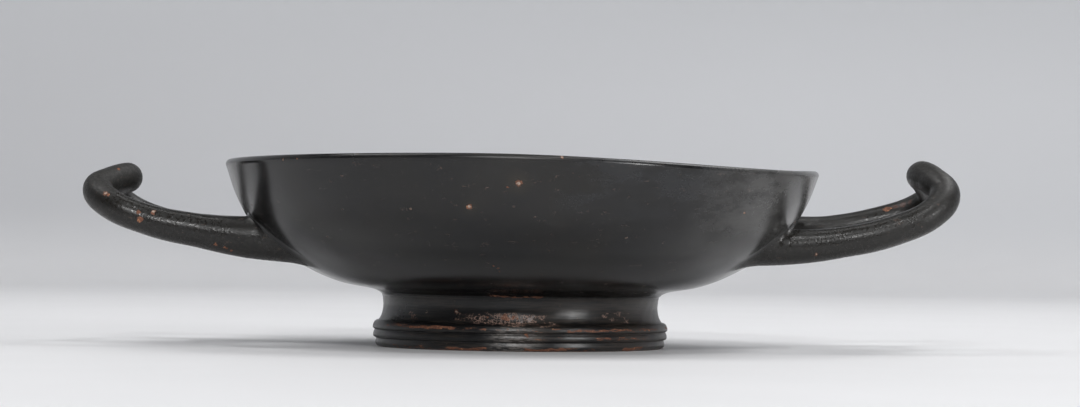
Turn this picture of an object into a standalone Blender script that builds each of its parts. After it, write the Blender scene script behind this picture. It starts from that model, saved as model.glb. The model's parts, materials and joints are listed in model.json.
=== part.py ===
"""Stemless kylix: a shallow black-glazed drinking cup of fired clay.

A wide bowl sits on a low moulded ring foot, and two looped handles run out
sideways from the lower wall, rise, and curl back at their ends.  The whole cup
was fired as one piece, so it is one solid: a turned body joined to two handles.

Units are millimetres in the constants below and metres in the model.  The foot
stands on z = 0, the handles lie along X, and the cup is centred on the origin.
"""

import math

import bmesh
import bpy
from mathutils import Vector

MM = 0.001

# Turned body -----------------------------------------------------------------
SEGMENTS = 64               # straight sides in one turn of the body
RIM_RADIUS = 87.6           # outside of the lip
RIM_HEIGHT = 54.4           # top of the lip where the wall is not cut lower
LIP_RADIUS = 1.4            # rounding of the lip's outer and inner edges
LIP_THICKNESS = 3.0
WALL_THICKNESS = 3.4        # lower wall, measured level
FLOOR_HEIGHT = 20.6         # inside of the bowl at the middle
FLOOR_RADIUS = 38.0         # the floor is nearly flat out to here

NECK_RADIUS = 40.6          # narrowest part of the foot
CREASE_HEIGHT = 15.3        # where the bowl sits down on the neck
TORUS_RADIUS = 43.65        # upper moulding of the foot
BASE_RADIUS = 41.7          # outer edge of the resting ring
REST_WIDTH = 5.6            # width of the resting ring
RECESS_HEIGHT = 10.4        # hollow under the foot

# How the potter's cup departs from a true turned form ---------------------------
LEAN = math.radians(0.2)    # the bowl leans towards +X on its level foot
LEAN_START = 1.0            # height where the lean begins
LEAN_FULL = 12.0            # height above which all of it leans
RIM_DIP = 1.95              # the lip is cut lower by this on one side
RIM_DIP_AZIMUTH = math.radians(-38.0)
RIM_DIP_HALF_WIDTH = math.radians(64.0)
RIM_SADDLE = 0.35           # the lip rises front and back and sinks left and right
RIM_BEND_START = 38.0       # height where the dip and the saddle begin

# Handles -----------------------------------------------------------------------
HANDLE_RADIUS = 4.4
ROOT_FLARE = 1.30           # the clay is smeared thicker where an arm joins the wall
# Stations of a handle from the wall to the end of its curled-back bar: distance
# out, distance from the cup's middle line, height of the front arm (-Y), height of
# the back arm (+Y), and thickness as a share of HANDLE_RADIUS.
LEFT_HANDLE = (
    (62.0, 22.0, 29.6, 30.4, ROOT_FLARE),
    (79.0, 22.0, 30.8, 33.4, 1.16),
    (93.0, 22.0, 32.7, 34.2, 1.04),
    (109.0, 21.5, 36.7, 36.3, 1.0),
    (119.5, 19.5, 41.0, 40.5, 1.0),
    (123.7, 14.5, 45.0, 45.0, 1.0),
    (121.2, 8.0, 47.4, 47.4, 1.0),
    (116.8, 0.0, 49.0, 49.0, 1.0),
)
RIGHT_HANDLE = (
    (62.0, 22.0, 30.4, 31.2, ROOT_FLARE),
    (79.0, 22.0, 30.5, 34.6, 1.15),
    (93.0, 22.0, 32.0, 35.6, 1.02),
    (109.0, 21.5, 35.8, 38.8, 1.0),
    (119.5, 19.5, 40.8, 42.5, 1.0),
    (123.7, 14.5, 46.2, 46.2, 1.0),
    (121.2, 8.0, 50.1, 50.1, 1.0),
    (118.6, 0.0, 52.0, 52.0, 1.0),
)

GLAZE_COLOUR = (0.012, 0.011, 0.010, 1.0)
GLAZE_ROUGHNESS = 0.22


def clear_scene():
    for obj in list(bpy.data.objects):
        bpy.data.objects.remove(obj, do_unlink=True)


def new_collection(name):
    collection = bpy.data.collections.new(name)
    bpy.context.scene.collection.children.link(collection)
    return collection


def glaze_material():
    material = bpy.data.materials.new("black_glaze")
    material.use_nodes = True
    shader = material.node_tree.nodes["Principled BSDF"]
    shader.inputs["Base Color"].default_value = GLAZE_COLOUR
    shader.inputs["Roughness"].default_value = GLAZE_ROUGHNESS
    shader.inputs["Metallic"].default_value = 0.0
    return material


def smooth_step(value, low, high):
    share = min(max((value - low) / (high - low), 0.0), 1.0)
    return share * share * (3.0 - 2.0 * share)


def arc(centre, radius, start, end, steps):
    """Points on a round stretch, from angle start to end in degrees."""
    points = []
    for step in range(steps + 1):
        angle = math.radians(start + (end - start) * step / steps)
        points.append((centre[0] + radius * math.cos(angle),
                       centre[1] + radius * math.sin(angle)))
    return points


def through(points, steps):
    """A smooth curve through a few points, each span in equal steps."""
    knots = [Vector(point) for point in points]
    knots = [2 * knots[0] - knots[1]] + knots + [2 * knots[-1] - knots[-2]]
    curve = []
    for before, start, end, after in zip(knots, knots[1:], knots[2:], knots[3:]):
        for step in range(steps):
            t = step / steps
            pull = (-t + 2 * t ** 2 - t ** 3) * before + (t ** 3 - t ** 2) * after
            rest = (2 - 5 * t ** 2 + 3 * t ** 3) * start + (t + 4 * t ** 2 - 3 * t ** 3) * end
            curve.append(tuple((pull + rest) / 2))
    curve.append(tuple(knots[-2]))
    return curve


def bowl_outside():
    """The bowl's outer side, from under the lip down to the crease at the neck."""
    lip_edge = (RIM_RADIUS, RIM_HEIGHT - LIP_RADIUS)
    return through([
        lip_edge,
        (84.1, 43.1),
        (79.3, 34.8),
        (72.2, 28.1),
        (62.2, 22.2),
        (53.3, 18.6),
        (44.4, 16.9),
    ], 2) + [(41.9, 16.0), (NECK_RADIUS + 0.5, CREASE_HEIGHT)]


def bowl_inside():
    """The bowl's inner side, from the middle of the floor up to under the lip."""
    return [(0.0, FLOOR_HEIGHT)] + through([
        (FLOOR_RADIUS / 2, FLOOR_HEIGHT + 0.1),
        (FLOOR_RADIUS, FLOOR_HEIGHT + 0.7),
        (56.0, 24.2),
        (68.0, 30.4),
        (77.0, 39.0),
        (81.4, 46.4),
        (RIM_RADIUS - LIP_THICKNESS - 0.3, RIM_HEIGHT - LIP_RADIUS),
    ], 2)


def lip():
    """The rounded top of the wall, from its inner to its outer side."""
    inner_centre = (RIM_RADIUS - LIP_THICKNESS + LIP_RADIUS, RIM_HEIGHT - LIP_RADIUS)
    outer_centre = (RIM_RADIUS - LIP_RADIUS, RIM_HEIGHT - LIP_RADIUS)
    return arc(inner_centre, LIP_RADIUS, 160, 100, 2) + arc(outer_centre, LIP_RADIUS, 80, 20, 2)


def foot_outside():
    """Neck and three mouldings, from the crease down to the resting ring."""
    neck = through([
        (NECK_RADIUS + 0.2, CREASE_HEIGHT - 1.0),
        (NECK_RADIUS, 12.0),
        (NECK_RADIUS + 0.4, 9.6),
        (NECK_RADIUS + 1.2, 7.9),
    ], 2)
    upper_torus = [(TORUS_RADIUS - 1.0, 7.6), (TORUS_RADIUS - 0.3, 7.1), (TORUS_RADIUS, 6.3),
                   (TORUS_RADIUS - 0.2, 5.4), (TORUS_RADIUS - 0.65, 4.95)]
    lower_torus = [(TORUS_RADIUS - 0.35, 4.5), (TORUS_RADIUS - 0.2, 3.8),
                   (TORUS_RADIUS - 0.4, 3.0), (TORUS_RADIUS - 1.15, 2.55)]
    fillet = [(TORUS_RADIUS - 1.1, 2.1), (TORUS_RADIUS - 1.05, 1.3), (TORUS_RADIUS - 1.35, 0.4)]
    return neck + upper_torus + lower_torus + fillet + [(BASE_RADIUS, 0.0)]


def foot_underside():
    """Resting ring and the hollow inside it, ending at the middle."""
    inner_edge = BASE_RADIUS - REST_WIDTH
    return [
        (inner_edge, 0.0),
        (inner_edge - 0.9, 0.6),
        (inner_edge - 3.2, RECESS_HEIGHT - 2.2),
        (inner_edge - 5.2, RECESS_HEIGHT - 0.5),
        (inner_edge - 8.0, RECESS_HEIGHT),
        (0.0, RECESS_HEIGHT + 0.4),
    ]


def turn(name, outline, collection):
    """One solid of revolution from an outline of (radius, height) pairs."""
    mesh = bpy.data.meshes.new(name + "_outline")
    vertices = [(radius * MM, 0.0, height * MM) for radius, height in outline]
    edges = [(index, index + 1) for index in range(len(vertices) - 1)]
    mesh.from_pydata(vertices, edges, [])
    sketch = bpy.data.objects.new(name + "_outline", mesh)
    collection.objects.link(sketch)
    screw = sketch.modifiers.new("turn", "SCREW")
    screw.axis = "Z"
    screw.steps = SEGMENTS
    screw.render_steps = SEGMENTS
    screw.use_merge_vertices = True
    screw.merge_threshold = 0.00001
    return made_a_mesh(name, sketch, collection)


def made_a_mesh(name, source, collection):
    """Replace a modified or curved object by a plain mesh object."""
    bpy.context.view_layer.update()
    evaluated = source.evaluated_get(bpy.context.evaluated_depsgraph_get())
    mesh = bpy.data.meshes.new_from_object(evaluated)
    mesh.name = name
    shape = bmesh.new()
    shape.from_mesh(mesh)
    bmesh.ops.remove_doubles(shape, verts=shape.verts, dist=0.00001)
    shape.to_mesh(mesh)
    shape.free()
    solid = bpy.data.objects.new(name, mesh)
    solid.matrix_world = source.matrix_world
    collection.objects.link(solid)
    bpy.data.objects.remove(source, do_unlink=True)
    return solid


def settle(mesh):
    """Give a turned mesh the lean of the bowl and the uneven height of its lip."""
    for vertex in mesh.vertices:
        x, y, z = vertex.co / MM
        azimuth = math.atan2(y, x)
        turn_away = abs(math.remainder(azimuth - RIM_DIP_AZIMUTH, 2 * math.pi))
        lift = -RIM_SADDLE * math.cos(2 * azimuth)
        if turn_away < RIM_DIP_HALF_WIDTH:
            lift -= RIM_DIP * (1 + math.cos(math.pi * turn_away / RIM_DIP_HALF_WIDTH)) / 2
        z += lift * smooth_step(z, RIM_BEND_START, RIM_HEIGHT)
        lean = LEAN * smooth_step(z, LEAN_START, LEAN_FULL)
        vertex.co = Vector((x + z * math.tan(lean), y, z - x * math.tan(lean))) * MM


def handle(name, side, stations, collection):
    """A round bar of clay along both arms of one loop; side is -1 left, +1 right."""
    front = [(side * out, -aside, front_height, share)
             for out, aside, front_height, back_height, share in stations]
    back = [(side * out, aside, back_height, share)
            for out, aside, front_height, back_height, share in stations[:-1]]
    points = front + back[::-1]

    curve = bpy.data.curves.new(name + "_path", "CURVE")
    curve.dimensions = "3D"
    curve.bevel_depth = HANDLE_RADIUS * MM
    curve.bevel_resolution = 4
    curve.resolution_u = 3
    curve.use_fill_caps = True
    spline = curve.splines.new("BEZIER")
    spline.bezier_points.add(len(points) - 1)
    for knot, (x, y, z, share) in zip(spline.bezier_points, points):
        knot.co = Vector((x, y, z)) * MM
        knot.radius = share
        knot.handle_left_type = "AUTO"
        knot.handle_right_type = "AUTO"
    path = bpy.data.objects.new(name + "_path", curve)
    collection.objects.link(path)
    return made_a_mesh(name, path, collection)


def wall_core(collection):
    """A plug that fills the bowl to the middle of its wall and trims the handles' ends."""
    half = WALL_THICKNESS / 2
    outline = [(0.0, RIM_HEIGHT + 20.0), (RIM_RADIUS + 2.0, RIM_HEIGHT + 20.0)]
    outline += [(radius - half * 0.9, height + half * 0.6) for radius, height in bowl_outside()[:-2]]
    outline += [(0.0, CREASE_HEIGHT + half)]
    return turn("wall_core", outline, collection)


def boolean(target, other, operation):
    modifier = target.modifiers.new(operation.lower() + "_" + other.name, "BOOLEAN")
    modifier.operation = operation
    modifier.solver = "EXACT"
    modifier.object = other
    other.hide_render = True
    other.display_type = "WIRE"


def main():
    clear_scene()
    parts = new_collection("kylix")
    cutters = new_collection("kylix_cutters")

    outline = bowl_inside() + lip() + bowl_outside() + foot_outside() + foot_underside()
    cup = turn("kylix", outline, parts)
    settle(cup.data)
    core = wall_core(cutters)
    settle(core.data)
    left = handle("handle_left", -1, LEFT_HANDLE, cutters)
    right = handle("handle_right", 1, RIGHT_HANDLE, cutters)
    for loop in (left, right):
        boolean(loop, core, "DIFFERENCE")
        boolean(cup, loop, "UNION")

    cup.data.materials.clear()
    cup.data.materials.append(glaze_material())
    cup.data.shade_smooth()
    cup.data.set_sharp_from_angle(angle=math.radians(40))


main()
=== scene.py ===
# %% [markdown]
# # A black-glazed kylix
# The object is a shallow Greek drinking cup: a wide wheel-thrown bowl on a low
# moulded foot, with two looped handles rolled by hand and pressed onto the wall.
# Its fired clay is covered by a glossy black slip that has worn through to the
# orange clay on the mouldings and in small nicks.
#
# The imported model is loaded first, because it fixes where everything goes.

# %% Load the frame
import json
import math

import bpy
import numpy as np
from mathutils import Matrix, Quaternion, Vector
from mathutils.bvhtree import BVHTree

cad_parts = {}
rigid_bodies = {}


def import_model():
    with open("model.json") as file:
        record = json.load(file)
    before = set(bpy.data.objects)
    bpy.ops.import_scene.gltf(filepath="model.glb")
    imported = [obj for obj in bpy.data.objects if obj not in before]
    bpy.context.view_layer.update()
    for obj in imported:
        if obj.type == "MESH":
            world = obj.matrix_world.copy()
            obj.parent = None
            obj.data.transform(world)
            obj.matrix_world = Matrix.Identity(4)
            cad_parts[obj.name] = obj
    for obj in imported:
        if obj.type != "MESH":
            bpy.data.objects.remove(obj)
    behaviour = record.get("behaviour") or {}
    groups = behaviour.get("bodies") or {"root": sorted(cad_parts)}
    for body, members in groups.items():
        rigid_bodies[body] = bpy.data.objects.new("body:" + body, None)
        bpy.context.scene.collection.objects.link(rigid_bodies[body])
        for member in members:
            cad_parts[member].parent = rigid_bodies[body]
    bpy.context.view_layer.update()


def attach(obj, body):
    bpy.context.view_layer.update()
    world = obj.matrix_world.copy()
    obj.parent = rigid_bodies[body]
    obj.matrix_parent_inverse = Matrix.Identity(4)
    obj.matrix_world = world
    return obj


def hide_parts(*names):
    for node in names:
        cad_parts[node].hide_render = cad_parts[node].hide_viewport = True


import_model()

# %% [markdown]
# ## Working units and smooth curves
# Pottery is drawn in millimetres, so sizes are kept that way and turned into
# metres when a mesh is made.  An outline could be drawn with Bezier handles in the
# viewport, but a few measured points are easier to check and to change.  Two
# helpers draw every outline: `through` runs a smooth curve through such points,
# and `arc` gives round edges.

# %% Curves through points
MM = 0.001


def through(points, steps):
    """A smooth curve through all the points, with so many steps between two of them."""
    knots = np.array([2 * np.array(points[0]) - np.array(points[1]), *points,
                      2 * np.array(points[-1]) - np.array(points[-2])], float)
    t = np.linspace(0, 1, steps, endpoint=False)[:, None]
    curve = []
    for before, start, end, after in zip(knots, knots[1:], knots[2:], knots[3:]):
        pull = (-t + 2 * t ** 2 - t ** 3) * before + (t ** 3 - t ** 2) * after
        rest = (2 - 5 * t ** 2 + 3 * t ** 3) * start + (t + 4 * t ** 2 - 3 * t ** 3) * end
        curve.append((pull + rest) / 2)
    return np.vstack(curve + [knots[-2:-1]])


def arc(centre, radius, start, end, steps):
    """Points on a circle between two angles in degrees."""
    angle = np.radians(np.linspace(start, end, steps + 1))
    return np.column_stack([centre[0] + radius * np.cos(angle),
                            centre[1] + radius * np.sin(angle)])


print("4 points and 8 steps give a curve of",
      len(through([(0, 0), (1, 1), (2, 0), (3, 1)], 8)), "points")

# %% [markdown]
# ## The outline of the bowl
# On the wheel, a cup is one outline swept round an axis, given here as distances
# from the axis and heights.  It starts in the middle of the floor, climbs the
# inside of the bowl, rolls over the lip and runs down the outside.  A circle would
# do for the lip, but a wet finger or cloth rounds its outer edge a little taller,
# so that arc is stretched in height.

# %% Outline of the bowl
RIM_RADIUS, RIM_HEIGHT = 87.6, 54.4
LIP_THICKNESS = 3.0
LIP_RADIUS, LIP_ROLL = 1.2, 1.4  # how wide and how tall the rounding is

bowl_inside = through([
    (0.0, 20.6), (19.0, 20.7), (38.0, 21.3), (56.0, 24.2), (68.0, 30.4),
    (77.0, 39.0), (81.4, 46.4), (RIM_RADIUS - LIP_THICKNESS - 0.3, RIM_HEIGHT - LIP_RADIUS),
], steps=7)
lip_middle = (RIM_RADIUS - LIP_THICKNESS + LIP_RADIUS, RIM_HEIGHT - LIP_RADIUS)
lip_inner = arc(lip_middle, LIP_RADIUS, 165, 95, 5)
lip_outer = (arc((0, 0), 1.0, 85, 5, 10) * [LIP_RADIUS, LIP_ROLL]
             + [RIM_RADIUS - LIP_RADIUS, RIM_HEIGHT - LIP_ROLL])
bowl_outside = through([
    (RIM_RADIUS, RIM_HEIGHT - LIP_ROLL), (84.1, 43.1), (79.3, 34.8), (72.2, 28.1),
    (62.2, 22.2), (53.3, 18.6), (44.4, 16.9), (41.9, 16.0),
], steps=9)
bowl = np.vstack([bowl_inside, lip_inner, lip_outer, bowl_outside])
print("the bowl's outline has", len(bowl), "points and is", 2 * RIM_RADIUS, "mm wide")

# %% [markdown]
# ## The outline of the foot
# Below a sharp crease the outline follows the foot, which was turned with a tool
# when the clay was leather-hard: a hollow neck, two rounded mouldings, a base
# fillet, the ring that it rests on, and the recess below.  The mouldings could be
# added by a bump texture, but their shadows and their edge against the table show
# that they stand out, so they are drawn.

# %% Outline of the foot
CREASE_HEIGHT, NECK_RADIUS = 15.3, 40.6
TORUS_RADIUS = 43.65  # the widest moulding
BASE_RADIUS, REST_WIDTH = 41.7, 5.6
RECESS_HEIGHT = 10.4


def moulding(points):
    """A moulding through points given by their distance from the widest one."""
    return through([(TORUS_RADIUS + out, height) for out, height in points], steps=3)


neck_start = (NECK_RADIUS + 0.2, CREASE_HEIGHT - 1.0)
crease = through([(41.1, CREASE_HEIGHT), neck_start], steps=3)
neck = through([neck_start, (NECK_RADIUS, 12.0), (NECK_RADIUS + 0.4, 9.6),
                (NECK_RADIUS + 1.2, 7.9), (TORUS_RADIUS - 1.15, 7.62)], steps=5)
upper_torus = moulding([(-1.05, 7.55), (-0.55, 7.2), (-0.12, 6.35), (0.0, 5.7),
                        (-0.12, 5.3), (-0.6, 4.95)])
lower_torus = moulding([(-0.6, 4.8), (-0.38, 4.45), (-0.18, 3.75), (-0.2, 3.15),
                        (-0.45, 2.75), (-1.05, 2.55)])
fillet = moulding([(-1.1, 2.35), (-1.0, 1.95), (-0.85, 1.1), (-1.2, 0.35),
                   (BASE_RADIUS - TORUS_RADIUS, 0.0)])
inner_edge = BASE_RADIUS - REST_WIDTH
recess = through([
    (inner_edge - 0.9, 0.6), (inner_edge - 3.2, RECESS_HEIGHT - 2.2),
    (inner_edge - 5.2, RECESS_HEIGHT - 0.5), (inner_edge - 8.0, RECESS_HEIGHT),
    (14.0, RECESS_HEIGHT + 0.25), (0.0, RECESS_HEIGHT + 0.4),
], steps=5)
outline = np.vstack([bowl, crease, neck[1:], upper_torus, lower_torus, fillet,
                     [(inner_edge, 0.0)], recess])
print("the whole outline has", len(outline), "points")

# %% [markdown]
# ## Turning the outline into a surface
# The wheel turns the outline into a body.  Blender's Screw modifier would sweep it
# too, but here the points stay in an array of rings, so that the hand of the
# potter can be added to them by formula before any mesh exists.

# %% Rings of points
SEGMENTS = 360


def turned(profile, segments=SEGMENTS):
    """One ring of points for each point of the outline."""
    angle = np.arange(segments) * 2 * math.pi / segments
    radius, height = profile[:, :1], profile[:, 1:]
    return np.stack([radius * np.cos(angle), radius * np.sin(angle),
                     height + 0 * angle], axis=-1)


def ring_mesh(name, rings):
    """Joins rings of points into a closed mesh; the first and last ring are poles."""
    count, segments = rings.shape[:2]
    inner = rings[1:-1].reshape(-1, 3)
    points = np.vstack([rings[0, :1], inner, rings[-1, :1]]) * MM
    j = np.arange(segments)
    after = (j + 1) % segments
    faces = [(0, 1 + a, 1 + b) for a, b in zip(j, after)]
    for ring in range(count - 3):
        low, high = 1 + ring * segments, 1 + (ring + 1) * segments
        faces += list(zip(low + j, high + j, high + after, low + after))
    last, tip = 1 + (count - 3) * segments, len(points) - 1
    faces += [(last + a, tip, last + b) for a, b in zip(j, after)]
    mesh = bpy.data.meshes.new(name)
    mesh.from_pydata(points.tolist(), [], [tuple(int(i) for i in face) for face in faces])
    return mesh


rings = turned(outline)
print(len(rings), "rings of", SEGMENTS, "points, one for each degree")

# %% [markdown]
# ## Leaning and dipping
# A thrown cup is never perfectly round: its lip dips where it was trimmed, and the
# bowl leans a little on its foot.  A lattice could bend the mesh by hand.  A formula
# is chosen, because it leaves the foot level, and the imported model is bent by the
# same one.

# %% Settle the cup
LEAN, LEAN_START, LEAN_FULL = math.radians(0.2), 1.0, 12.0
RIM_DIP, RIM_DIP_AZIMUTH, RIM_DIP_HALF_WIDTH = 1.95, math.radians(-38), math.radians(64)
RIM_SADDLE, RIM_BEND_START = 0.35, 38.0


def smooth_step(value, low, high):
    """0 below low, 1 above high, and an easy slope between."""
    share = np.clip((value - low) / (high - low), 0, 1)
    return share * share * (3 - 2 * share)


def settle(points):
    """Lets the lip dip and the bowl lean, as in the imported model."""
    x, y, z = np.moveaxis(points, -1, 0)
    azimuth = np.arctan2(y, x)
    away = np.abs((azimuth - RIM_DIP_AZIMUTH + math.pi) % (2 * math.pi) - math.pi)
    lift = -RIM_SADDLE * np.cos(2 * azimuth)
    dip = RIM_DIP * (1 + np.cos(math.pi * away / RIM_DIP_HALF_WIDTH)) / 2
    lift -= np.where(away < RIM_DIP_HALF_WIDTH, dip, 0)
    z = z + lift * smooth_step(z, RIM_BEND_START, RIM_HEIGHT)
    slope = np.tan(LEAN * smooth_step(z, LEAN_START, LEAN_FULL))
    return np.stack([x + z * slope, y, z - x * slope], axis=-1)


top = settle(rings)[..., 2].max(axis=0)
print("the top of the lip lies between", round(top.min(), 1), "and", round(top.max(), 1), "mm")

# %% [markdown]
# ## Finger ripples and tool chatter
# The wall keeps shallow ripples from the potter's fingers, and the mouldings, cut
# with a tool as the cup turned, wobble slightly.  Sculpting them would take long
# and could not be repeated.  A sum of sines with seeded phases looks as uneven and
# makes the same cup in every run.

# %% Ripples
FINGER_DEPTH, TOOL_DEPTH, CHATTER_DEPTH = 0.05, 0.02, 0.018
FOOT_FROM, FOOT_TO = 16.5, 14.0  # below these heights the tool takes over
random = np.random.default_rng(7)


def ripple(azimuth, along, turns, spacing, terms=7):
    """A smooth uneven field over the surface, between about -1 and 1."""
    field = 0 * along
    for _ in range(terms):
        field = field + np.sin(random.integers(0, turns + 1) * azimuth
                               + 2 * math.pi * along / (spacing * random.uniform(0.6, 1.6))
                               + random.uniform(0, 2 * math.pi))
    return field / math.sqrt(terms)


x, y, z = np.moveaxis(rings, -1, 0)
azimuth, radius = np.arctan2(y, x), np.hypot(x, y)
travel = np.concatenate([[0], np.cumsum(np.hypot(*np.diff(outline, axis=0).T))])[:, None]
finger = ripple(azimuth, travel, 3, 26.0) * FINGER_DEPTH
tool = ripple(azimuth, travel, 9, 9.0) * TOOL_DEPTH
chatter = ripple(azimuth, travel, 60, 5.0) * CHATTER_DEPTH
foot_only = smooth_step(z, FOOT_FROM, FOOT_TO)
from_floor, near_lip = smooth_step(radius, 30, 60), smooth_step(radius, 84.5, 86.5)
wall_only = from_floor * (1 - 0.7 * near_lip) * (1 - foot_only)
change = finger * wall_only + (tool + chatter) * foot_only
change *= smooth_step(z, 0.1, 1.0) * smooth_step(RIM_RADIUS - radius, 0.0, 1.5)
radius = radius + change
rings = settle(np.stack([radius * np.cos(azimuth), radius * np.sin(azimuth), z], axis=-1))
cup_mesh = ring_mesh("kylix_cup", rings)
print("turned body:", len(cup_mesh.vertices), "points, with ripples up to",
      round(np.abs(change).max(), 2), "mm")

# %% [markdown]
# ## Where the handles go
# Each handle is one roll of clay bent into a loop.  It leaves the lower wall, runs
# outward and upward in two arms, and its end curls back towards the bowl.  It is
# given by a few stations from the root to the middle of the curl.  The two arms
# have their own heights, because neither handle hangs quite level.

# %% Stations of the handles
HANDLE_RADIUS = 4.4
# out, aside, height of the front arm, height of the back arm, share of the radius
LEFT_HANDLE = (
    (62.0, 22.0, 30.3, 30.4, 1.45), (79.0, 22.0, 31.5, 32.0, 1.36),
    (93.0, 22.0, 33.3, 33.4, 1.12), (109.0, 21.5, 36.7, 36.0, 1.0),
    (119.5, 19.5, 41.0, 40.4, 1.0), (123.7, 14.5, 45.0, 45.0, 1.0),
    (121.2, 8.0, 47.4, 47.4, 1.0), (116.8, 0.0, 49.0, 49.0, 1.0),
)
RIGHT_HANDLE = (
    (62.0, 22.0, 30.4, 31.2, 1.30), (79.0, 22.0, 30.5, 34.6, 1.15),
    (93.0, 22.0, 32.0, 35.6, 1.02), (109.0, 21.5, 35.8, 38.8, 1.0),
    (119.5, 19.5, 40.8, 42.5, 1.0), (123.7, 14.5, 46.2, 46.2, 1.0),
    (121.2, 8.0, 50.1, 50.1, 1.0), (118.6, 0.0, 52.0, 52.0, 1.0),
)
print("stations on each handle:", len(LEFT_HANDLE), "and", len(RIGHT_HANDLE))

# %% [markdown]
# ## Bending the rolls
# Soft clay bends in one easy sweep, and a Bezier curve with automatic handles does
# the same.  Blender works out its evenly stepped points, and they are read back to
# be swept by hand.  The radius swells where the arms are smeared onto the wall.

# %% Centre lines
def centre_line(side, stations, steps=12):
    """Evenly stepped points along one handle's Bezier curve, and the radius at each."""
    front = [(side * out, -aside, low, share) for out, aside, low, high, share in stations]
    back = [(side * out, aside, high, share) for out, aside, low, high, share in stations[:-1]]
    stops = front + back[::-1]
    curve = bpy.data.curves.new("centre_line", "CURVE")
    curve.dimensions = "3D"
    curve.resolution_u = steps
    spline = curve.splines.new("BEZIER")
    spline.bezier_points.add(len(stops) - 1)
    for knot, stop in zip(spline.bezier_points, stops):
        knot.co = Vector(stop[:3])
        knot.handle_left_type = knot.handle_right_type = "AUTO"
    path = bpy.data.objects.new("centre_line", curve)
    bpy.context.scene.collection.objects.link(path)
    bpy.context.view_layer.update()
    line = path.evaluated_get(bpy.context.evaluated_depsgraph_get()).to_mesh()
    points = np.array([vertex.co for vertex in line.vertices])
    bpy.data.objects.remove(path)
    bpy.data.curves.remove(curve)
    shares = [stop[3] for stop in stops]
    at = np.arange(len(points)) / steps
    return points, HANDLE_RADIUS * np.interp(at, range(len(shares)), shares)


lines = {"left": centre_line(-1, LEFT_HANDLE), "right": centre_line(1, RIGHT_HANDLE)}
for name, (points, radii) in lines.items():
    length = np.linalg.norm(np.diff(points, axis=0), axis=1).sum()
    print(name, "handle:", len(points), "points,", round(length, 1), "mm of rolled clay")

# %% [markdown]
# ## Keeping the section square to its line
# A roll twists if its section turns while it is swept.  Blender's curves have twist
# settings of their own; here two vectors square to the line are carried along it
# and turned only as far as the line bends, which keeps the grid of points straight.

# %% Vectors square to a line
def square_vectors(points):
    """Two unit vectors square to the path at each point, turning as little as they can."""
    tangent = np.gradient(points, axis=0)
    tangent /= np.linalg.norm(tangent, axis=1)[:, None]
    across = np.zeros_like(tangent)
    last = np.cross(tangent[0], (0, 0, 1))
    for index, along in enumerate(tangent):
        last = last - along * last.dot(along)
        last /= np.linalg.norm(last)
        across[index] = last
    return across, np.cross(across, tangent)


print("the section is set square at", len(lines["left"][0]), "points of the left roll")

# %% [markdown]
# ## Sweeping a section along each line
# A curve's own round bevel would give a perfect bar, and a bar rolled by hand is
# not perfectly round.  So the section is swept by hand, and the same `ripple`
# makes it a touch flat or thick here and there, as fingers leave it.

# %% Sweep the rolls
SIDES = 30
UNEVEN = 0.022  # share of the radius
ROUND_ENDS, UNEVEN_FROM = 26.0, 44.0  # distances from a root


def sweep(points, radii):
    """Rings of points round a centre line, with a closed end on each side."""
    u, v = square_vectors(points)
    angle = np.arange(SIDES) * 2 * math.pi / SIDES
    along = np.concatenate([[0], np.cumsum(np.linalg.norm(np.diff(points, axis=0), axis=1))])
    from_root = np.minimum(along, along[-1] - along)
    free = smooth_step(from_root, ROUND_ENDS, UNEVEN_FROM)[:, None]
    uneven = 1 + UNEVEN * free * ripple(angle[None, :], along[:, None], 3, 38.0)
    spread = (radii[:, None] * uneven)[..., None]
    rings = points[:, None] + spread * (np.cos(angle)[:, None] * u[:, None]
                                        + np.sin(angle)[:, None] * v[:, None])
    ends = [np.repeat(points[:1, None], SIDES, 1), np.repeat(points[-1:, None], SIDES, 1)]
    return np.concatenate([ends[0], rings, ends[1]])


def linked(mesh):
    """Puts a mesh into the scene as an object of the same name."""
    obj = bpy.data.objects.new(mesh.name, mesh)
    bpy.context.scene.collection.objects.link(obj)
    return obj


cup = linked(cup_mesh)
rolls = [linked(ring_mesh("roll_" + name, sweep(*line))) for name, line in lines.items()]
print("points on each roll:", [len(roll.data.vertices) for roll in rolls])

# %% [markdown]
# ## Joining clay to clay
# The potter presses each end of a roll onto the wall, and nothing of it shows
# inside the bowl.  Here a plug that fills the bowl to the middle of its wall cuts
# the ends off, and a Boolean union joins the rest to the cup.  Leaving the rolls
# pushed through the wall would be quicker, but they would stick out inside, and
# the roots could not be rounded afterwards.

# %% Trim and join
WALL = 3.4
PLUG_TOP, PLUG_WIDTH = 75, 90


def boolean(target, other, operation):
    """Cuts one object from another or joins them, when the mesh is evaluated."""
    modifier = target.modifiers.new(operation.lower() + "_" + other.name, "BOOLEAN")
    modifier.operation, modifier.solver, modifier.object = operation, "EXACT", other


def evaluated_mesh(obj, name):
    """The object's mesh with its modifiers applied."""
    bpy.context.view_layer.update()
    depsgraph = bpy.context.evaluated_depsgraph_get()
    mesh = bpy.data.meshes.new_from_object(obj.evaluated_get(depsgraph))
    mesh.name = name
    return mesh


plug_side = bowl_outside[:-4:3] + [-0.45 * WALL, 0.3 * WALL]
plug_outline = np.vstack([[(0, PLUG_TOP), (PLUG_WIDTH, PLUG_TOP)], plug_side,
                          [(0, CREASE_HEIGHT + WALL / 2)]])
plug = linked(ring_mesh("plug", settle(turned(plug_outline, segments=96))))
wall_tree = BVHTree.FromObject(cup, bpy.context.evaluated_depsgraph_get())
for roll in rolls:
    boolean(roll, plug, "DIFFERENCE")
    boolean(cup, roll, "UNION")
joined = evaluated_mesh(cup, "kylix_cup")
for helper in [plug, *rolls]:
    bpy.data.objects.remove(helper)
cup.modifiers.clear()
cup.data = joined
print("joined cup:", len(joined.vertices), "points")

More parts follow.
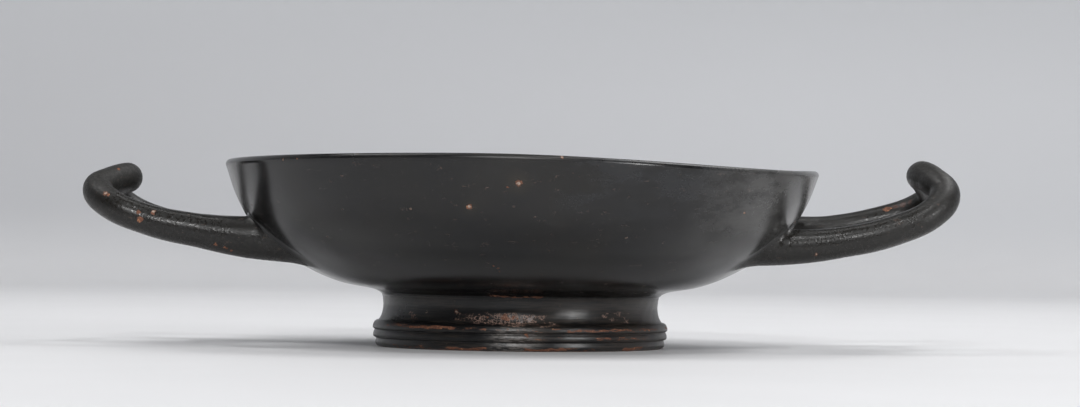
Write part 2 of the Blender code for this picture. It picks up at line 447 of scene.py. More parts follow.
# %% [markdown]
# ## Smearing the roots: how far is the clay?
# A Boolean leaves a hard crease where each arm meets the wall, but wet clay is
# smeared over with a finger.  A Bevel modifier stumbles over the thin triangles
# that the Boolean leaves, so the crease is rounded with a smooth union.  It needs
# two distances from any point: one to the wall and one to the roll.

# %% Distances to the wall and to a roll
def wall_distance(points):
    """Distance from the turned body, below 0 inside it, and the direction away from it."""
    found = [wall_tree.find_nearest(Vector(point) * MM)[:2] for point in points]
    nearest = np.array([spot for spot, normal in found]) / MM
    normals = np.array([normal for spot, normal in found])
    return ((points - nearest) * normals).sum(1), normals


def roll_distance(points, line):
    """Distance from a roll, below 0 inside it, and the direction away from it."""
    centres, radii = line
    start, step = centres[:-1], np.diff(centres, axis=0)
    size = (step ** 2).sum(1)
    share = np.clip(((points[:, None] - start) * step).sum(2) / size, 0, 1)
    offset = points[:, None] - (start + share[..., None] * step)
    gap = np.linalg.norm(offset, axis=2) - (radii[:-1] + share * np.diff(radii))
    best = gap.argmin(1)
    rows = np.arange(len(points))
    direction = offset[rows, best]
    return gap[rows, best], direction / np.linalg.norm(direction, axis=1)[:, None]


points = np.array([vertex.co for vertex in cup.data.vertices]) / MM
edges = np.array([edge.vertices[:] for edge in cup.data.edges])
print("distances can be measured from", len(points), "points")

# %% [markdown]
# ## Smearing the roots: which clay moves, and where to?
# Only points near both the wall and the roll may move, or the whole cup would go
# soft.  They could be picked by hand, but the two distances pick them by formula.
# Each one belongs where a blend of the two distances is zero, which fills the
# crease with a small fillet.

# %% Points near a root
BLEND = 2.6  # size of the fillet
ROOT_FROM, ROOT_LOW, ROOT_HIGH = 50, 14, 50  # the roots lie beyond and between these
REACH = 1.15 * BLEND  # how far from both surfaces a moving point may be
SKIN_DEPTH, TOO_DEEP = 1.2, -1.5  # points further in than these are left alone
STEEP_AT_LEAST = 0.2  # keeps a move short where wall and roll face each other


def near_root(side, line):
    """Numbers of the outside points on one side that are close to both surfaces."""
    wall_radius = np.interp(points[:, 2], bowl_outside[::-1, 1], bowl_outside[::-1, 0])
    outside = np.hypot(points[:, 0], points[:, 1]) > wall_radius - SKIN_DEPTH
    level = (points[:, 2] > ROOT_LOW) & (points[:, 2] < ROOT_HIGH)
    chosen = np.flatnonzero(outside & level & (side * points[:, 0] > ROOT_FROM))
    from_wall, _ = wall_distance(points[chosen])
    from_roll, _ = roll_distance(points[chosen], line)
    furthest = np.maximum(np.abs(from_wall), np.abs(from_roll))
    return chosen[(furthest < REACH) & (np.minimum(from_wall, from_roll) > TOO_DEEP)]


def onto_blend(spots, line):
    """The spots moved onto the blend, the wall's share in it, and its direction."""
    from_wall, wall_normal = wall_distance(spots)
    from_roll, roll_normal = roll_distance(spots, line)
    mix = np.clip(0.5 + 0.5 * (from_roll - from_wall) / BLEND, 0, 1)
    value = from_roll + (from_wall - from_roll) * mix - BLEND * mix * (1 - mix)
    slope = mix[:, None] * wall_normal + (1 - mix)[:, None] * roll_normal
    steep = np.maximum((slope ** 2).sum(1), STEEP_AT_LEAST)
    return spots - (value / steep)[:, None] * slope, mix, slope


sides = ((-1, lines["left"]), (1, lines["right"]))
print("points near the roots:", [len(near_root(*side)) for side in sides])

# %% [markdown]
# ## Smearing the roots: blend and even out
# The points are moved onto the blend in a few rounds.  Between moves they slide
# along the surface towards the middle of their neighbours, as a Smooth modifier
# would move them, so the thin triangles do not show.

# %% Round the creases
ROUNDS, EVENING = 14, 0.6

for side, line in sides:
    chosen = near_root(side, line)
    place = np.full(len(points), -1)
    place[chosen] = np.arange(len(chosen))
    links = edges[(place[edges] >= 0).any(1)]
    for _ in range(ROUNDS):
        moved, mix, slope = onto_blend(points[chosen], line)
        points[chosen] = moved
        total, count = np.zeros_like(moved), np.zeros(len(moved))
        for one, other in (links.T, links.T[::-1]):
            known = place[one] >= 0
            np.add.at(total, place[one[known]], points[other[known]])
            np.add.at(count, place[one[known]], 1)
        pull = total / count[:, None] - moved
        normal = slope / np.linalg.norm(slope, axis=1)[:, None]
        pull -= (pull * normal).sum(1)[:, None] * normal
        points[chosen] = moved + EVENING * (4 * mix * (1 - mix))[:, None] * pull
    print("rounded", len(chosen), "points at the roots of one handle")
cup.data.vertices.foreach_set("co", (points * MM).ravel())
cup.data.update()

# %% [markdown]
# ## Shading
# Thrown clay is smooth, so every face is shaded smooth, and only the creases
# between the mouldings and under the bowl are kept sharp.  Subdivision would also
# smooth the body, but it would soften those creases and multiply the faces.
#
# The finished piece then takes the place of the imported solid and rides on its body.

# %% Smooth shading
SHARP_FROM = math.radians(38)
cup.data.shade_smooth()
cup.data.set_sharp_from_angle(angle=SHARP_FROM)
cup.name = "kylix_cup"
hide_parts("kylix")
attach(cup, "root")
print("kylix_cup:", sum(len(face.vertices) - 2 for face in cup.data.polygons), "triangles")

# %% [markdown]
# ## Wiring a material by code
# The finish is a node material.  The nodes could be placed by hand in the Shader
# Editor, but written out they can be read from top to bottom.  `node` adds one to
# `tree`, the material being built.  A socket given as an input becomes a link, and
# anything else becomes the socket's own value.

# %% Start the glaze
glaze = bpy.data.materials.new("black_glaze")
glaze.use_nodes = True
tree = glaze.node_tree
shader = tree.nodes["Principled BSDF"]


def node(kind, inputs=(), output=0, **settings):
    """Adds a node, sets it up, wires its inputs and gives one of its outputs."""
    made = tree.nodes.new("ShaderNode" + kind)
    for key, value in settings.items():
        setattr(made, key, value)
    for key, value in dict(inputs).items():
        if isinstance(value, bpy.types.NodeSocket):
            tree.links.new(value, made.inputs[key])
        else:
            made.inputs[key].default_value = value
    return made.outputs[output]


print("the glaze starts with", len(tree.nodes), "nodes")

# %% [markdown]
# ## Sums of sockets
# A mask says where something may be, from 0 to 1.  Masks are multiplied to keep
# what they share, added, or compared to take the strongest.  Three short words
# stand for these Math nodes, so that a finish reads like a recipe.

# %% Sums
def maths(operation, *values, clamp=False):
    """One sum or comparison of two values."""
    return node("Math", dict(enumerate(values)), operation=operation, use_clamp=clamp)


def chained(operation, first, *others):
    """The same operation over any number of values, from left to right."""
    for other in others:
        first = maths(operation, first, other)
    return first


def times(*values):
    return chained("MULTIPLY", *values)


def plus(*values):
    return chained("ADD", *values)


def most(*values):
    return chained("MAXIMUM", *values)


print("masks can be multiplied, added and compared")

# %% [markdown]
# ## Knowing where on the cup a point is
# Wear follows the form: it sits on the ridges, at certain heights and on certain
# sides.  It could be painted onto an unwrapped picture, but then it would be as
# coarse as the picture.  Instead the material works out, from the object's own
# coordinates, how high a point is, how far from the axis, and how far round the
# cup it is turned from the front.

# %% Height, radius and turn
where = node("TexCoord", output=3)
in_mm = node("VectorMath", {0: where, "Scale": 1000.0}, operation="SCALE")
across, depth, height = node("SeparateXYZ", {0: in_mm}).node.outputs
radius = node("VectorMath", {0: node("CombineXYZ", {0: across, 1: depth})},
              output=1, operation="LENGTH")
turn = times(180 / math.pi, maths("ARCTAN2", across, times(depth, -1.0)))
print("each point knows its height, radius and turn")

# %% [markdown]
# ## Telling the parts apart
# The handles, the inside and the foot were touched, glazed and worn differently,
# but one slip runs over all of them, and separate materials would show an edge.  So
# one material compares a point's radius with the wall's radius at its height, and
# fades from part to part.

# %% Handles, inside, foot and lip
WALL_RADII = [(16.9, 46.0), (18.6, 54.5), (22.2, 63.4), (28.1, 73.4),
              (34.8, 80.5), (43.1, 85.3), (54.0, 88.8)]  # height, radius


def window(value, start, full, low=0.0, high=1.0):
    """A soft step from low to high as value goes from start to full."""
    return node("MapRange", {"Value": value, "From Min": start, "From Max": full,
                             "To Min": low, "To Max": high},
                interpolation_type="SMOOTHSTEP", clamp=True)


def lookup(value, stops):
    """Reads a number off a list of (value, number) stops, with straight lines between."""
    low, high, most_of_all = stops[0][0], stops[-1][0], max(number for _, number in stops)
    share = node("MapRange", {"Value": value, "From Min": low, "From Max": high}, clamp=True)
    read = node("ValToRGB", {0: share})
    elements = read.node.color_ramp.elements
    elements[0].position, elements[1].position = 0.0, 1.0
    for level, _ in stops[1:-1]:
        elements.new((level - low) / (high - low))
    for element, (_, number) in zip(elements, stops):
        element.color = (*[number / most_of_all] * 3, 1)
    return times(read, most_of_all)


beyond = maths("SUBTRACT", radius, lookup(height, WALL_RADII))
on_handle = times(window(beyond, -0.4, 1.0), window(height, 17.0, 20.0))
inside = times(window(beyond, -2.2, -2.9), window(height, 19.0, 20.0))
on_foot = window(height, 15.6, 14.6)
on_curl = times(on_handle, window(height, 44.0, 49.0), window(across, 20.0, -20.0, 0.25, 1.0))
on_lip = window(height, 52.3, 53.2)
print("the wall's radius is read off", len(WALL_RADII), "heights")

# %% [markdown]
# ## The textures that the slip is made of
# A brush and the turning wheel leave fine lines round the cup, so one noise is
# squeezed in height: its grains become long level streaks.  Others are plain
# clouds, broad ones for uneven firing and fine ones for the grain of the slip.
# Noise in three dimensions is chosen over a flat texture, because it has no seams
# on a round body.

# %% Streaks, clouds and grain
def squeezed(share, tilt=0.0):
    """Coordinates in which every texture is flattened by a share, and tilted."""
    return node("Mapping", {"Vector": where, "Rotation": (0.0, tilt, 0.0),
                            "Scale": (1.0, 1.0, share)})


def noise(places, scale, detail=3.0, roughness=0.5):
    """A cloudy texture between about 0.3 and 0.7."""
    return node("TexNoise", {"Vector": places, "Scale": scale, "Detail": detail,
                             "Roughness": roughness})


wheel_lines = noise(squeezed(14.0), 120.0, 3.0, 0.62)
clouds = noise(where, 38.0, 3.0, 0.62)
smoke = noise(squeezed(2.4, tilt=0.55), 75.0, 4.0, 0.66)
grain = noise(where, 1100.0, 3.0, 0.68)
pits = node("TexVoronoi", {"Vector": where, "Scale": 900.0, "Randomness": 1.0})
dashes = window(noise(squeezed(5.0), 480.0, 4.0, 0.68), 0.30, 0.70)
print("six textures are ready")

# %% [markdown]
# ## The slip itself
# The black gloss is not evenly black.  Fired thin it turns olive and brown, thick
# and well fired it goes blue-grey, and handling has dulled the handles.  One dark
# colour would look like plastic.  The colours are therefore laid over one another
# where the clouds, the wheel lines and the parts of the cup allow.  Two of the
# layers are painted light rather than slip: a lighter grey on the right of the wall
# is a painted reflection, and a pale grey on the front of the upper moulding is a
# painted highlight.

# %% Black slip
BLUE_BLACK, OLIVE_BLACK = (0.0050, 0.0050, 0.0055), (0.0085, 0.0075, 0.0062)
HANDLE_BLACK, HANDLE_BROWN = (0.0060, 0.0056, 0.0048), (0.0130, 0.0116, 0.0098)
# the lighter grey on this line is a painted reflection for the right of the wall
SMOKE_BLUE, REFLECTION_GREY = (0.0190, 0.0205, 0.0235), (0.0600, 0.0590, 0.0565)
LINE_GREY, WASHED_BROWN = (0.0230, 0.0220, 0.0205), (0.0300, 0.0225, 0.0180)
# the pale grey on this line is a painted highlight for the front of the upper moulding
HIGHLIGHT_GREY = (0.170, 0.155, 0.142)


def band(value, centre, half, soft):
    """1 within half of the centre, fading to 0 over soft on both sides."""
    away = maths("ABSOLUTE", maths("SUBTRACT", value, centre))
    return window(away, half + soft, half)


def mix_colour(share, under, over):
    """Lays one colour over another; a plain colour may be three numbers."""
    under, over = [(*colour, 1) if isinstance(colour, tuple) else colour
                   for colour in (under, over)]
    return node("Mix", {0: share, 6: under, 7: over}, output=2, data_type="RGBA")


smoky = times(band(turn, 36.0, 22.0, 14.0), window(height, 33.0, 46.0),
              window(smoke, 0.42, 0.62))
# Painted reflection: the slip is painted lighter grey on the right of the wall, where the wall
# mirrors more light.
painted_right_reflection = times(band(turn, 62.0, 12.0, 20.0), window(smoke, 0.25, 0.65),
             window(height, 20.0, 40.0))
streaked = window(wheel_lines, 0.48, 0.72, 0.0, 0.35)
washed = times(on_foot, window(plus(wheel_lines, window(clouds, 0.3, 0.7, -0.12, 0.12)),
                               0.42, 0.66))
# Painted highlight: a pale grey on the front of the upper moulding, where the front lamp's
# highlight falls, broken up by the dashes.
painted_moulding_highlight = times(band(turn, -2.0, 4.0, 9.0), window(height, 7.3, 6.5),
               window(dashes, 0.25, 0.75))
slip = mix_colour(window(clouds, 0.38, 0.68), BLUE_BLACK, OLIVE_BLACK)
for share, tint in ((times(smoky, 0.55), SMOKE_BLUE), (painted_right_reflection, REFLECTION_GREY), (streaked, LINE_GREY),
                    (times(washed, 0.8), WASHED_BROWN), (times(painted_moulding_highlight, 0.6), HIGHLIGHT_GREY)):
    slip = mix_colour(share, slip, tint)
handle_slip = mix_colour(window(grain, 0.35, 0.65), HANDLE_BLACK, HANDLE_BROWN)
slip = mix_colour(on_handle, slip, handle_slip)
print("the slip takes", len(tree.nodes), "nodes so far")

# %% [markdown]
# ## Worn mouldings
# The sharp mouldings of the foot rub first, and there the orange clay shows in
# level strips and dashes.  A mask of the sharp edges would wear them evenly all
# round, which use never does.  So each strip is given by its height, how tall it
# is, and where round the foot it starts and ends.  Strips only say where wear may
# be: the dashes then decide, so a stronger strip has fewer black gaps.

# %% Wear on the foot
WORN_STRIPS = [  # height, half height, start, end, strength
    (6.75, 0.22, -62, -47, 0.62), (6.50, 0.28, -46, -24, 0.95), (6.25, 0.15, -24, -4, 0.52),
    (6.1, 0.20, -1, 18, 0.45), (6.05, 0.22, 19, 45, 0.74), (6.0, 0.20, 45, 66, 0.55),
    (3.75, 0.18, 6, 16, 0.45), (3.7, 0.22, 31, 37, 0.85), (3.7, 0.30, 40, 58, 0.52),
    (0.55, 0.20, -60, -30, 0.40), (0.58, 0.26, -29, -14, 0.90), (0.55, 0.26, 1.5, 16, 0.88),
    (0.55, 0.22, 16, 30, 0.45), (0.70, 0.26, 45, 56, 0.85),
    (6.2, 0.25, 78, 125, 0.70), (3.7, 0.25, -140, -85, 0.65), (6.3, 0.25, 140, 172, 0.60),
    (15.5, 0.10, -13, 9, 0.62),  # in the crease under the bowl
    (0.6, 0.35, 95, 165, 0.65), (0.6, 0.35, -165, -100, 0.75), (6.4, 0.25, -125, -80, 0.55),
]
FOOT_INSIDE = 38.5  # nothing is worn nearer to the axis than this

wobble = times(maths("SUBTRACT", noise(where, 180.0, 2.0), 0.5), 1.6)
worn_height = plus(height, wobble)
worn_turn = plus(turn, times(wobble, 4.0))


def patches(rows, soft_height, soft_turn, trim=0.0):
    """The strongest of several patches, each at a height and between two turns."""
    strongest = 0.0
    for level, half, start, end, strength in rows:
        patch = times(band(worn_height, level, half, soft_height),
                      band(worn_turn, (start + end) / 2, (end - start) / 2 - trim, soft_turn))
        strongest = most(strongest, times(patch, strength))
    return strongest


strips = times(patches(WORN_STRIPS, 0.35, 1.5, trim=0.5),
               window(radius, FOOT_INSIDE, FOOT_INSIDE + 1.0))
worn = window(maths("SUBTRACT", plus(dashes, strips), 1.0), 0.0, 0.35)
print(len(WORN_STRIPS), "worn strips round the foot")

# %% [markdown]
# ## Finding places for nicks
# A knock takes a flake of slip with it.  Each knock is a point on the surface: on
# the wall it is found by sending a ray at the cup from a turn and a height, and on
# a handle it is the nearest point of the skin.  The material then measures how
# near a point is to it, in units of the nick's own size.  Placing small decals
# would be easier to see, but they would stand off the curved surface.

# %% Places and closeness
RAGGED = 0.0016  # metres by which the edge of a nick wanders
FAR_AWAY = 9.0
final_tree = BVHTree.FromObject(cup, bpy.context.evaluated_depsgraph_get())


def wall_spot(angle, level):
    """The point of the outside at a turn from the front and a height."""
    outward = Vector((math.sin(math.radians(angle)), -math.cos(math.radians(angle)), 0))
    return final_tree.ray_cast(outward * 0.2 + Vector((0, 0, level * MM)), -outward)[0]


def placed(on_wall=(), on_skin=()):
    """Points with their sizes, from (turn, height, size) and from (x, y, z, size)."""
    return ([(wall_spot(angle, level), size) for angle, level, size in on_wall]
            + [(final_tree.find_nearest(Vector(place) * MM)[0], size)
               for *place, size in on_skin])


random_shift = node("VectorMath", {0: node("TexNoise", {"Vector": where, "Scale": 1500.0,
                                                        "Detail": 3.0}, output=1),
                                   1: (0.5, 0.5, 0.5)}, operation="SUBTRACT")
ragged_places = node("VectorMath", {0: where, 1: node(
    "VectorMath", {0: random_shift, "Scale": RAGGED}, operation="SCALE")}, operation="ADD")


def closeness(spots):
    """How far the nearest spot is: 0 in its middle and 1 at its edge."""
    nearest = FAR_AWAY
    for place, size in spots:
        gap = node("VectorMath", {0: ragged_places, 1: place}, output=1, operation="DISTANCE")
        nearest = maths("MINIMUM", nearest, maths("DIVIDE", gap, size * MM))
    return nearest


print("the front of the wall at 40 mm is", round(-wall_spot(0, 40).y / MM, 1), "mm out")

# %% [markdown]
# ## Bruises
# A hard knock leaves a pale bruised middle with a rim of orange clay.  Bruises sit
# where a cup meets other things: on the lip, the belly, the outer bends of the
# handles and the foot.  A random scatter would be shorter to write, but it would
# also fall in sheltered places, so each one is placed.

# %% Bruises
bruises = placed(on_wall=[
    (-0.1, 46.8, 0.85), (-9.4, 40.3, 0.78), (49.0, 39.8, 0.42), (-26.0, 11.0, 0.6),
    (7.4, 53.9, 0.5), (-49.0, 53.2, 0.35), (150.0, 44.0, 0.8), (-120.0, 30.0, 0.6),
    (-166.0, 50.0, 0.7),
], on_skin=[
    (-105.9, -25.1, 38.5, 0.6), (-120.1, -22.9, 43.7, 0.75), (85.2, -26.1, 28.4, 0.5),
])
bruise_edge = closeness(bruises)
bruise = window(bruise_edge, 0.75, 0.45)
print(len(bruises), "bruises")

# %% [markdown]
# ## Chips
# A light knock only lifts the slip and leaves a chip of bare clay.  Chips come in
# small groups, because clay that has begun to flake goes on flaking.  They could
# be one more texture, but a few listed ones keep the groups where they belong.

# %% Chips
chips = placed(on_wall=[
    (-2.2, 45.6, 0.35), (13.5, 54.2, 0.5), (37.0, 54.0, 0.6), (27.0, 53.8, 0.35),
    (-45.0, 53.4, 0.3), (158.0, 26.0, 0.6),
    (-6.1, 24.3, 0.28), (-5.3, 23.7, 0.38), (-4.8, 22.9, 0.26),
    (-5.6, 9.9, 0.9), (-4.6, 9.2, 0.7), (-12.8, 9.6, 0.35), (-2.4, 9.6, 0.6),
    (-0.6, 9.3, 0.4), (-6.6, 9.4, 0.45), (2.8, 5.0, 0.5), (3.2, 4.4, 0.4),
], on_skin=[
    (-109.6, -25.8, 36.4, 0.95), (-110.2, -25.5, 38.4, 0.6), (-118.4, -8.5, 51.2, 0.6),
    (-87.8, -26.2, 29.5, 0.45), (-84.8, -25.8, 28.6, 0.6), (-83.2, -25.5, 27.9, 0.5),
    (-119.4, -22.6, 42.9, 0.55), (-106.2, -25.2, 37.7, 0.5), (-100.0, 22.0, 31.0, 0.7),
    (110.3, 18.2, 42.2, 1.0), (111.2, 18.0, 42.6, 0.6), (79.7, -17.4, 37.8, 0.5),
    (126.0, 4.0, 46.0, 0.6),
])
bare = most(worn, window(bruise_edge, 1.15, 0.8), window(closeness(chips), 1.05, 0.85))
print(len(chips), "chips")

# %% [markdown]
# ## Stains round the damage
# Round the two largest bruises the slip has a faint brown halo, and a brown streak
# runs along the inner side of one handle.  Inside the bowl a faint disc shows where
# another cup stood in the kiln.  They are measured as the nicks are, but larger and
# softer.

# %% Halo, streak and disc
halo = window(closeness(placed(on_wall=[(-0.1, 46.8, 5.0), (-9.4, 40.3, 3.0)])), 1.0, 0.1)
stain = window(closeness(placed(on_skin=[
    (112.8, 17.6, 43.4, 1.1), (114.8, 16.9, 44.1, 1.2), (117.0, 16.2, 44.8, 0.9)])), 1.1, 0.5)
stacked = times(inside, band(radius, 0.0, 20.5, 2.5))
print("the disc is 41 mm wide")

# %% [markdown]
# ## Pinpricks
# Over the whole cup the slip has popped off in pinpricks, where a grain of lime or
# a bubble broke through in the firing.  Thousands of single spots would be slow.  A
# Voronoi texture scatters one point in each cell; its colour is random, so only a
# few cells keep their speck, and their sizes differ.

# %% Pinpricks
sprinkle = node("TexVoronoi", {"Vector": ragged_places, "Scale": 170.0}).node
lottery = sprinkle.outputs["Color"]
kept = window(node("SeparateColor", {0: lottery}), 0.86, 0.88)
speck_size = window(node("SeparateColor", {0: lottery}, output=1), 0.0, 1.0, 0.028, 0.07)
speck = times(kept, window(maths("DIVIDE", sprinkle.outputs["Distance"], speck_size), 1.0, 0.7))
print("about one cell in eight keeps a pinprick")

# %% [markdown]
# ## The crazed patch
# On the front of the neck the slip has crackled and begun to flake.  Cracks drawn
# as curves would take hundreds of points.  Here they are the borders between
# Voronoi cells, drawn only where a ragged patch allows, and a few whole cells have
# come away.

# %% Crazing on the neck
CRACKLE = 1000.0  # scale of the cells
CRAZED = [  # height, half height, start, end, strength
    (9.2, 1.1, -26, -12, 0.60), (9.3, 1.4, -13, -2, 0.68), (9.2, 0.9, 0, 6, 0.92),
    (9.0, 1.2, 6, 10, 0.60), (7.9, 0.5, -12, 14, 0.60), (9.6, 1.2, -50, -42, 0.35),
    (9.6, 1.2, 36, 50, 0.32),
]
cells = node("TexVoronoi", {"Vector": ragged_places, "Scale": CRACKLE}).node
borders = node("TexVoronoi", {"Vector": ragged_places, "Scale": CRACKLE},
               feature="DISTANCE_TO_EDGE")
patchy = window(noise(squeezed(2.5), 300.0, 4.0, 0.65), 0.3, 0.7)
craze = patches(CRAZED, 0.6, 2.0)
crack = times(window(borders, 0.10, 0.02), window(plus(craze, patchy), 0.9, 1.2))
cell_number = node("SeparateColor", {0: cells.outputs["Color"]})
flake = window(plus(craze, cell_number), 1.62, 1.72)
print(len(CRAZED), "crazed patches on the neck")

# %% [markdown]
# ## Colour
# Everything is laid over the slip in the order in which it happened: stains on it,
# fired clay where it has gone, pale bruises in the clay, specks, cracks and flakes
# of dull grey slip.  The ring that the cup rests on is worn to the clay all round.
# Layers in this order keep a late scratch on top of an early stain.

# %% Layers of colour
CLAY_DARK, CLAY_ORANGE = (0.105, 0.040, 0.022), (0.215, 0.088, 0.048)
CLAY_BRIGHT, BRUISE_DUST = (0.50, 0.24, 0.11), (0.42, 0.33, 0.27)
HALO_BROWN, STREAK_BROWN, DISC_BROWN = ((0.026, 0.020, 0.012), (0.085, 0.036, 0.024),
                                        (0.022, 0.0125, 0.0085))
SPECK_CLAY, CRACK_CLAY, FLAKE_GREY = ((0.24, 0.17, 0.13), (0.42, 0.27, 0.21),
                                      (0.30, 0.27, 0.26))

clay = mix_colour(window(grain, 0.3, 0.7), CLAY_DARK, CLAY_ORANGE)
clay = mix_colour(window(grain, 0.60, 0.70), clay, CLAY_BRIGHT)
for mask, strength, tint in ((halo, 0.5, HALO_BROWN), (stain, 0.7, STREAK_BROWN),
                             (stacked, 0.7, DISC_BROWN)):
    slip = mix_colour(times(mask, strength), slip, tint)
colour = mix_colour(bare, slip, clay)
for mask, strength, tint in ((bruise, 0.85, BRUISE_DUST), (speck, 0.55, SPECK_CLAY),
                             (crack, 0.7, CRACK_CLAY), (flake, 0.7, FLAKE_GREY)):
    colour = mix_colour(times(mask, strength), colour, tint)
resting = times(window(height, 0.25, 0.08), window(radius, 35.0, 36.0))
colour = mix_colour(times(resting, window(dashes, 0.1, 0.4)), colour, clay)
tree.links.new(colour, shader.inputs["Base Color"])
print("the colour takes", len(tree.nodes), "nodes")

# %% [markdown]
# ## Gloss
# The slip is glossy but not like glass: fine grain softens what it mirrors, most
# of all on the handles, and bare clay is dull.  A clear coat over a dull base could
# look alike, but the slip is itself the shiny surface, so only its roughness changes.

# %% Gloss
SLIP_IOR = 1.48
lip_dull = times(on_lip, band(turn, -10.0, 18.0, 7.0))
rough = plus(
    window(clouds, 0.35, 0.65, 0.16, 0.22),
    window(grain, 0.35, 0.7, 0.0, 0.04),
    times(smoky, 0.10),
    times(on_foot, window(height, 8.0, 7.2, 0.11, 0.13)),
    times(on_curl, 0.20),
    times(lip_dull, 0.15),
    times(on_handle, window(clouds, 0.42, 0.58, 0.0, 0.08)),
    times(on_handle, window(grain, 0.42, 0.62, 0.20, 0.02)),
)
dull = most(bare, speck, crack, flake)
tree.links.new(maths("ADD", rough, times(dull, 0.4), clamp=True), shader.inputs["Roughness"])
shader.inputs["IOR"].default_value = SLIP_IOR
print("bare clay, specks, cracks and flakes dull a gloss of index", SLIP_IOR)

# %% [markdown]
# ## Relief
# Grain, pits, wheel lines and the hollows of the bruises are too shallow for the
# mesh.  They are added as one bump in millimetres, each texture scaled by how deep
# it is on a real cup.  The handles were never smoothed on the wheel, so they are
# the roughest.

# %% Relief
def depth_in_mm(part, on_part, elsewhere):
    """A depth that is greater on one part of the cup."""
    return plus(times(part, on_part), elsewhere)


grainy = times(grain, depth_in_mm(on_handle, 0.060, 0.004))
popped = times(window(pits, 0.0, 0.45), depth_in_mm(on_handle, 0.030, 0.001))
wheel_marks = times(wheel_lines, depth_in_mm(on_foot, 0.045, 0.006))
hollows = times(bruise, -0.12)
relief = plus(grainy, popped, wheel_marks, hollows)
tree.links.new(node("Bump", {"Strength": 1.0, "Distance": MM, "Height": relief}),
               shader.inputs["Normal"])
cup.data.materials.clear()
cup.data.materials.append(glaze)
print("the glaze has", len(tree.nodes), "nodes")

# %% [markdown]
# ## Table and backdrop
# The cup stands on a pale table that curves up into a plain wall all round, like
# the paper sweep of a studio.  A flat plane would be simpler, but a glossy cup
# mirrors its whole room, and the plane's edge would show.

# %% Paper sweep
TABLE_RADIUS, CURVE_RADIUS, WALL_TOP = 1150.0, 450.0, 1500.0
SWEEP_SIDES = 96
sweep_line = np.vstack([
    [(200, 0), (500, 0), (800, 0)],
    arc((TABLE_RADIUS, CURVE_RADIUS), CURVE_RADIUS, -90, 0, 18),
    [(TABLE_RADIUS + CURVE_RADIUS, WALL_TOP)],
])
sweep_points = turned(sweep_line, SWEEP_SIDES).reshape(-1, 3) * MM
sweep_faces = [tuple(range(SWEEP_SIDES))]
for low in range(0, len(sweep_points) - SWEEP_SIDES, SWEEP_SIDES):
    for side in range(SWEEP_SIDES):
        after = (side + 1) % SWEEP_SIDES
        sweep_faces.append((low + side, low + SWEEP_SIDES + side,
                            low + SWEEP_SIDES + after, low + after))
sweep_mesh = bpy.data.meshes.new("studio_sweep")
sweep_mesh.from_pydata(sweep_points.tolist(), [], sweep_faces)
floor = linked(sweep_mesh)
floor.data.shade_smooth()
print("the sweep is", 2 * (TABLE_RADIUS + CURVE_RADIUS) * MM, "m across")

# %% [markdown]
# ## The paper
# Paper is matt and faintly mottled.  Behind the cup the wall is grey, with painted
# light on it: a little lighter to the right and a little darker higher up, as a
# lamp's falloff would leave it.  On the viewer's side it is painted darker, as shade
# standing for the unlit room there, because the black slip mirrors it and would
# look milky in front of a white wall.  Seen from outside the paper is clear, so
# that a camera behind it still sees the cup.

# %% Pale paper
# The wall greys are painted light: lighter to the right and darker higher up, with painted
# shade on the viewer's side.
SHADED_GREY_LEFT, LIT_GREY_RIGHT, SHADED_GREY_HIGH = ((0.610, 0.615, 0.635), (0.720, 0.728, 0.750),
                                    (0.60, 0.61, 0.63))
VIEWER_SIDE_SHADE = (0.200, 0.200, 0.210)
BACKFACING = 6  # output of the Geometry node

paper = bpy.data.materials.new("pale_paper")
paper.use_nodes = True
tree = paper.node_tree
paper_shader = tree.nodes["Principled BSDF"]
paper_places = node("TexCoord", output=3)
aside, back, up = node("SeparateXYZ", {0: paper_places}).node.outputs
# painted light: the wall grows lighter to the right and darker higher up
painted_light_rightward = node("MapRange", {"Value": aside, "From Min": -0.42, "From Max": 0.20}, clamp=True)
wall_grey_and_painted_light = mix_colour(painted_light_rightward, SHADED_GREY_LEFT, LIT_GREY_RIGHT)
wall_grey_and_painted_light = mix_colour(window(up, 0.12, 0.30), wall_grey_and_painted_light, SHADED_GREY_HIGH)
# painted shade: the viewer's side of the sweep is dark grey, standing for the unlit room there
wall_grey_and_painted_light = mix_colour(window(back, -0.9, 0.2), VIEWER_SIDE_SHADE, wall_grey_and_painted_light)
mottled = window(noise(paper_places, 9.0, 5.0, 0.6), 0.3, 0.7, 0.79, 0.81)
table_grey = node("CombineColor", {0: mottled, 1: mottled, 2: times(mottled, 1.015)})
tree.links.new(mix_colour(window(up, 0.0, 0.06), table_grey, wall_grey_and_painted_light),
               paper_shader.inputs["Base Color"])
paper_shader.inputs["Roughness"].default_value = 0.5
paper_shader.inputs["Specular IOR Level"].default_value = 0.3
open_side = node("MixShader", {0: node("NewGeometry", output=BACKFACING),
                               1: paper_shader.outputs[0], 2: node("BsdfTransparent")})
tree.links.new(open_side, tree.nodes["Material Output"].inputs["Surface"])
floor.data.materials.append(paper)
print("the paper has", len(tree.nodes), "nodes")

# %% [markdown]
# ## Soft studio light
# Black gloss is seen mostly by what it mirrors, so the lamps are placed for their
# reflections.  Large softboxes on both sides draw the upright light bands near the
# ends of the wall, a narrow key and a low front box put the thin highlights on
# lip, mouldings and handles, and one small high lamp adds a glint where a handle
# curls.  An even sky would light the cup too, but would mirror as one flat grey.

# %% Lights
ABOVE_FOOT = (0, 0, 0.03)


def softbox(name, turn, height_angle, distance, size, watts, aim=ABOVE_FOOT):
    """An area light seen from the cup at a turn to the right of the front and a height."""
    light = bpy.data.lights.new(name, "AREA")
    light.shape = "RECTANGLE"
    light.size, light.size_y = size
    light.energy = watts
    lamp = bpy.data.objects.new(name, light)
    bpy.context.scene.collection.objects.link(lamp)
    turn, rise = math.radians(turn), math.radians(height_angle)
    away = Vector((math.sin(turn) * math.cos(rise), -math.cos(turn) * math.cos(rise),
                   math.sin(rise)))
    lamp.location = Vector(aim) + away * distance
    lamp.rotation_euler = away.to_track_quat("Z", "Y").to_euler()
    lamp.visible_camera = False
    return lamp


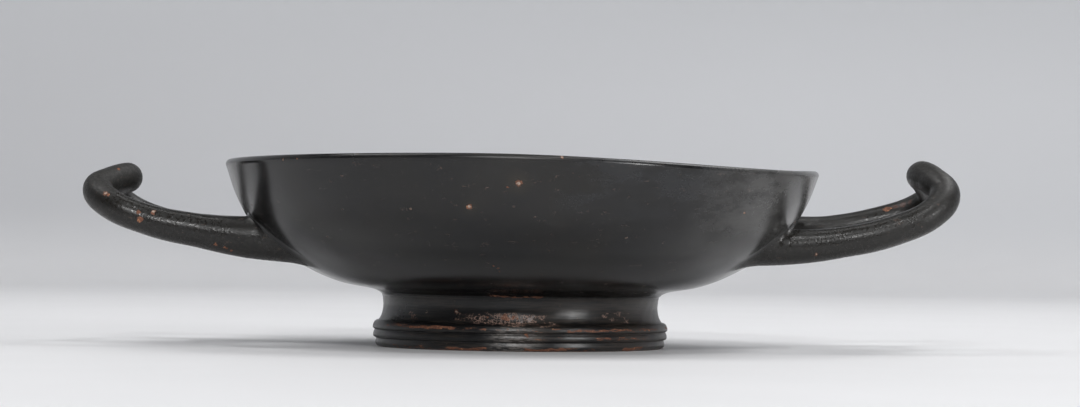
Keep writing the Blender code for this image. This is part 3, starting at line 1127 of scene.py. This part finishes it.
lamps = [  # name, turn, height angle, distance, size, watts
    softbox("right", 88, 60, 1.3, (0.60, 0.60), 2.6),
    softbox("left", -88, 60, 1.3, (0.60, 0.60), 3.95),
    softbox("back_right", 122, 55, 1.3, (0.65, 0.65), 4.0),
    softbox("key", 45, 18, 1.4, (0.16, 0.34), 5.2),
    softbox("front", -4, 28, 1.4, (0.30, 0.12), 6.7),
    softbox("high", 18, 60, 1.4, (0.07, 0.07), 2.5),
    softbox("backdrop", 0, 40, 1.5, (1.60, 0.40), 6.35, aim=(0, 1.5, 0.3)),
]
print(len(lamps), "lamps give", round(sum(lamp.data.energy for lamp in lamps), 2), "W")

# %% [markdown]
# ## The air in the room
# A little light comes from everywhere in a white room.  A faint bluish world keeps
# the deepest shadows from going fully black, and the plain colour transform shows
# the greys as they are, without a film look that would lift the blacks.

# %% Room light and colours
ROOM_LIGHT, ROOM_STRENGTH = (0.9, 0.95, 1.0, 1), 0.02
world = bpy.data.worlds.new("room")
bpy.context.scene.world = world
world.use_nodes = True
background = world.node_tree.nodes["Background"]
background.inputs["Color"].default_value = ROOM_LIGHT
background.inputs["Strength"].default_value = ROOM_STRENGTH
bpy.context.scene.view_settings.view_transform = "Standard"
print("the room adds light of strength", ROOM_STRENGTH)

# %% [markdown]
# ## Camera
# A cup is best seen level with its rim, where the lip closes to a thin line and
# the profile shows.  A long lens from nearly a metre away keeps both handles in
# the same scale.  A Track To constraint could aim it, but a turn about its own axis
# is wanted too, so its rotation is composed.

# %% Camera
FOCAL_LENGTH = 101.13  # mm, on a sensor 36 mm wide
LOOK_UP, ROLL = math.radians(0.80), math.radians(0.65)
lens = bpy.data.cameras.new("camera")
lens.sensor_width, lens.lens = 36.0, FOCAL_LENGTH
camera = bpy.data.objects.new("camera", lens)
bpy.context.scene.collection.objects.link(camera)
camera.location = (0.0055, -0.900, 0.030)
view = Vector((0.0, math.cos(LOOK_UP), math.sin(LOOK_UP)))
camera.rotation_mode = "QUATERNION"
camera.rotation_quaternion = view.to_track_quat("-Z", "Y") @ Quaternion((0, 0, 1), ROLL)
bpy.context.scene.camera = camera
print("the camera stands", round(camera.location.length, 3), "m from the cup's middle")
